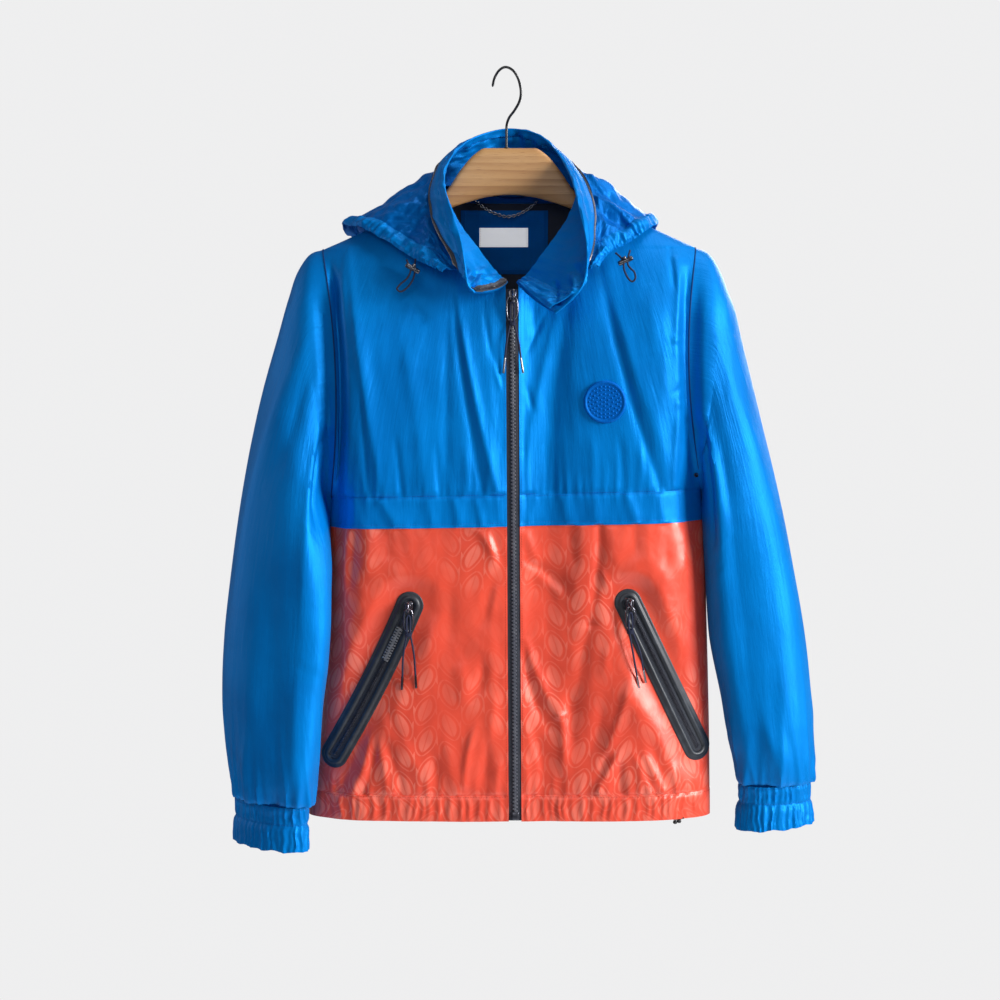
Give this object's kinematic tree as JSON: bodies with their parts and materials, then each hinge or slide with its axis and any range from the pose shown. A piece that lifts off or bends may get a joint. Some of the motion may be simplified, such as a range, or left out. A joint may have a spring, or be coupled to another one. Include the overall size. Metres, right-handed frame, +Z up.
{
  "type": "windbreaker jacket on a hanger",
  "caption": "Hooded two-colour windbreaker jacket with a standing collar, full front zip, slanted zip pockets and elastic cuffs, hanging on a shaped wooden hanger with a wire hook.",
  "frame": {"origin": "underside of the hook's crown, where the hanger hangs on a rail", "axes": "+Z up, -Y is the jacket's front, +X is the wearer's left"},
  "size_m": [0.685, 0.2302, 0.8956],
  "materials": {
    "nylon_blue": "satin",
    "coated_red": "gloss",
    "lining_navy": "matte",
    "label_white": "matte",
    "tape_black": "satin",
    "zip_dark": "matte",
    "gunmetal": "satin",
    "teeth_silver": "satin",
    "cord_navy": "matte",
    "rubber_blue": "satin",
    "wood": "satin",
    "wire_black": "satin"
  },
  "bodies": {
    "jacket": {"front_upper_rt": "nylon_blue", "front_band_rt": "nylon_blue", "sleeve_rt": "nylon_blue", "cuff_rt": "nylon_blue", "hood_rt": "nylon_blue", "front_lower_rt": "coated_red", "hem_front_rt": "coated_red", "zip_rt": "zip_dark", "pocket_tape_rt": "tape_black", "pocket_zip_rt": "zip_dark", "slider_pocket_rt": "gunmetal", "cord_lock_rt": "gunmetal", "cord_loop_rt": "cord_navy", "front_upper_lt": "nylon_blue", "front_band_lt": "nylon_blue", "sleeve_lt": "nylon_blue", "cuff_lt": "nylon_blue", "hood_lt": "nylon_blue", "front_lower_lt": "coated_red", "hem_front_lt": "coated_red", "zip_lt": "zip_dark", "pocket_tape_lt": "tape_black", "pocket_zip_lt": "zip_dark", "slider_pocket_lt": "gunmetal", "cord_lock_lt": "gunmetal", "cord_loop_lt": "cord_navy", "back_upper": "nylon_blue", "back_band": "nylon_blue", "collar": "nylon_blue", "hood_channel": "nylon_blue", "neck_facing": "nylon_blue", "back_lower": "coated_red", "hem_back": "coated_red", "neck_lining": "lining_navy", "neck_label": "label_white", "chain_loop": "gunmetal", "collar_zip_rt": "zip_dark", "collar_guard_lt": "nylon_blue", "hood_zip": "zip_dark", "slider_front": "gunmetal", "badge": "rubber_blue", "hem_cord_end": "gunmetal", "hanger_wood": "wood", "hanger_hook": "wire_black"},
    "pull_front_body": {"pull_front": "gunmetal", "tail_front_a": "cord_navy", "tail_front_b": "cord_navy", "tip_front_a": "teeth_silver", "tip_front_b": "teeth_silver"},
    "pull_pocket_rt_body": {"pull_pocket_rt": "gunmetal", "tail_pocket_rt_a": "cord_navy", "tail_pocket_rt_b": "cord_navy", "tip_pocket_rt_a": "teeth_silver", "tip_pocket_rt_b": "teeth_silver"},
    "pull_pocket_lt_body": {"pull_pocket_lt": "gunmetal", "tail_pocket_lt_a": "cord_navy", "tail_pocket_lt_b": "cord_navy", "tip_pocket_lt_a": "teeth_silver", "tip_pocket_lt_b": "teeth_silver"}
  },
  "joints": [
    {"name": "front_pull_swing", "type": "hinge", "parent": "jacket", "child": "pull_front_body", "pos_m": [0.00805, -0.06167, -0.2669], "axis": [-1, 0, 0], "range_deg": [0, 110]},
    {"name": "pocket_rt_pull_swing", "type": "hinge", "parent": "jacket", "child": "pull_pocket_rt_body", "pos_m": [-0.10905, -0.06721, -0.62128], "axis": [-1, 0, 0], "range_deg": [0, 110]},
    {"name": "pocket_lt_pull_swing", "type": "hinge", "parent": "jacket", "child": "pull_pocket_lt_body", "pos_m": [0.14178, -0.06634, -0.61826], "axis": [-1, 0, 0], "range_deg": [0, 110]}
  ]
}
